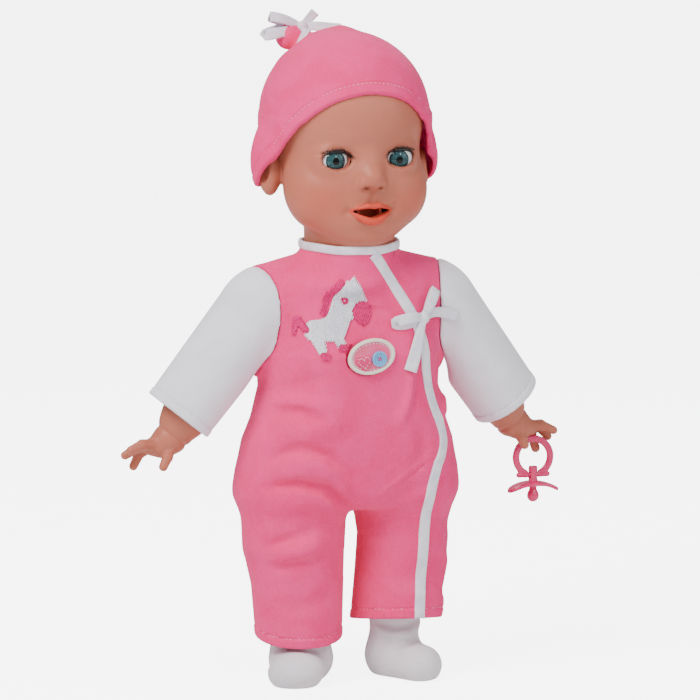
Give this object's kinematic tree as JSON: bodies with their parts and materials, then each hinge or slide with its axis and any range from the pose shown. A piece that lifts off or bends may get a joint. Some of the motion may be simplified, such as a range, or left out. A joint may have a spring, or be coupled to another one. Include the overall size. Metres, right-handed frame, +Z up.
{
  "type": "interactive baby doll",
  "caption": "Soft-bodied baby doll with vinyl head, hands and feet, sleeping eyes, a sound module with a press badge, a lift-off hat, romper, socks and a pacifier on a ring.",
  "frame": {"origin": "on the ground plane under the middle of the standing doll's box", "axes": "+Z up, the doll faces -Y, the doll's left is +X"},
  "size_m": [0.2656, 0.1002, 0.3858],
  "materials": {
    "vinyl_skin": "soft satin vinyl",
    "pink_velour": "velour pile",
    "white_jersey": "fine knitted jersey",
    "white_trim": "woven bias tape and satin ribbon",
    "body_cloth": "plain woven cloth over stuffing",
    "sock_knit": "soft knit",
    "case_plastic": "moulded",
    "steel": "plain",
    "board": "solder-masked board",
    "black_plastic": "moulded",
    "eye_white": "glossy",
    "lash_fibre": "fine fibre",
    "hot_pink_plastic": "glossy moulded",
    "badge_cream": "glossy moulded",
    "badge_blue": "glossy moulded",
    "wire": "sleeved wire",
    "mouth_red": "soft moulded"
  },
  "bodies": {
    "body": {"torso": "body_cloth", "pocket_flap": "body_cloth", "neck_plug": "case_plastic", "neck_tie": "white_trim", "romper_body": "pink_velour", "neck_binding": "white_trim", "front_binding": "white_trim", "romper_bow": "white_trim", "embroidery": "white_trim", "module_front_case": "case_plastic", "module_back_case": "case_plastic", "battery_door": "case_plastic", "module_screws": "steel", "batteries": "steel", "battery_contacts": "steel", "circuit_board": "board", "speaker": "black_plastic", "tact_switch": "black_plastic", "button_spring": "steel", "signal_wire": "wire"},
    "head": {"head_shell": "vinyl_skin", "mouth_pocket": "mouth_red", "eye_case_right": "case_plastic", "eye_case_left": "case_plastic", "mouth_switch": "black_plastic", "plunger_spring": "steel"},
    "mouth_plunger": {"mouth_plunger": "mouth_red"},
    "eye_right": {"eyeball_right": "eye_white", "eyelash_right": "lash_fibre", "eye_weight_right": "steel"},
    "eye_left": {"eyeball_left": "eye_white", "eyelash_left": "lash_fibre", "eye_weight_left": "steel"},
    "hat": {"hat_crown": "pink_velour", "hat_topknot": "pink_velour", "hat_bow": "white_trim"},
    "sound_button": {"badge_plate": "badge_cream", "badge_heart": "hot_pink_plastic", "badge_button": "badge_blue", "push_cap": "hot_pink_plastic"},
    "power_slider": {"power_slider": "black_plastic"},
    "arm_right": {"hand_right": "vinyl_skin", "upper_arm_right": "body_cloth", "sleeve_right": "white_jersey"},
    "arm_left": {"hand_left": "vinyl_skin", "upper_arm_left": "body_cloth", "sleeve_left": "white_jersey"},
    "leg_right": {"shin_right": "vinyl_skin", "thigh_right": "body_cloth", "pant_leg_right": "pink_velour", "sock_right": "sock_knit"},
    "leg_left": {"shin_left": "vinyl_skin", "thigh_left": "body_cloth", "pant_leg_left": "pink_velour", "sock_left": "sock_knit", "leg_binding_left": "white_trim"},
    "pacifier_ring": {"pacifier_ring": "hot_pink_plastic"},
    "pacifier_shield": {"pacifier_shield": "hot_pink_plastic", "pacifier_teat": "hot_pink_plastic"}
  },
  "joints": [
    {"name": "neck_turn", "type": "hinge", "parent": "body", "child": "head", "pos_m": [-0.0004, -0.0058, 0.249], "axis": [0, 0, 1], "range_deg": [-60, 60]},
    {"name": "eye_right_close", "type": "hinge", "parent": "head", "child": "eye_right", "pos_m": [-0.02, -0.0302, 0.304], "axis": [1, 0, 0], "range_deg": [0, 48]},
    {"name": "eye_left_close", "type": "hinge", "parent": "head", "child": "eye_left", "pos_m": [0.0192, -0.0302, 0.304], "axis": [1, 0, 0], "range_deg": [0, 48]},
    {"name": "mouth_press", "type": "slide", "parent": "head", "child": "mouth_plunger", "axis": [0, 1, 0], "range_m": [0, 0.004], "stiffness_N_per_m": 120, "springref_m": -0.002, "deforming": ["plunger_spring"]},
    {"name": "hat_lift", "type": "slide", "parent": "head", "child": "hat", "axis": [0, 0.5, 0.866], "range_m": [0, 0.07]},
    {"name": "sound_press", "type": "slide", "parent": "body", "child": "sound_button", "axis": [0, 1, 0], "range_m": [0, 0.003], "stiffness_N_per_m": 250, "springref_m": -0.002, "deforming": ["button_spring"]},
    {"name": "power_switch", "type": "slide", "parent": "body", "child": "power_slider", "axis": [1, 0, 0], "range_m": [0, 0.004]},
    {"name": "shoulder_right", "type": "hinge", "parent": "body", "child": "arm_right", "pos_m": [-0.0544, -0.0028, 0.2115], "axis": [-1, 0, 0], "range_deg": [-40, 120]},
    {"name": "shoulder_left", "type": "hinge", "parent": "body", "child": "arm_left", "pos_m": [0.0536, -0.0028, 0.2115], "axis": [-1, 0, 0], "range_deg": [-40, 120]},
    {"name": "hip_right", "type": "hinge", "parent": "body", "child": "leg_right", "pos_m": [-0.0304, -0.0058, 0.112], "axis": [-1, 0, 0], "range_deg": [-20, 90]},
    {"name": "hip_left", "type": "hinge", "parent": "body", "child": "leg_left", "pos_m": [0.0296, -0.0058, 0.112], "axis": [-1, 0, 0], "range_deg": [-20, 90]},
    {"name": "pacifier_pull", "type": "slide", "parent": "arm_left", "child": "pacifier_ring", "axis": [0, 0, -1], "range_m": [0, 0.06]},
    {"name": "pacifier_swing", "type": "hinge", "parent": "pacifier_ring", "child": "pacifier_shield", "pos_m": [0.1176, 0.0062, 0.1113], "axis": [1, 0, 0], "range_deg": [-80, 80]}
  ]
}
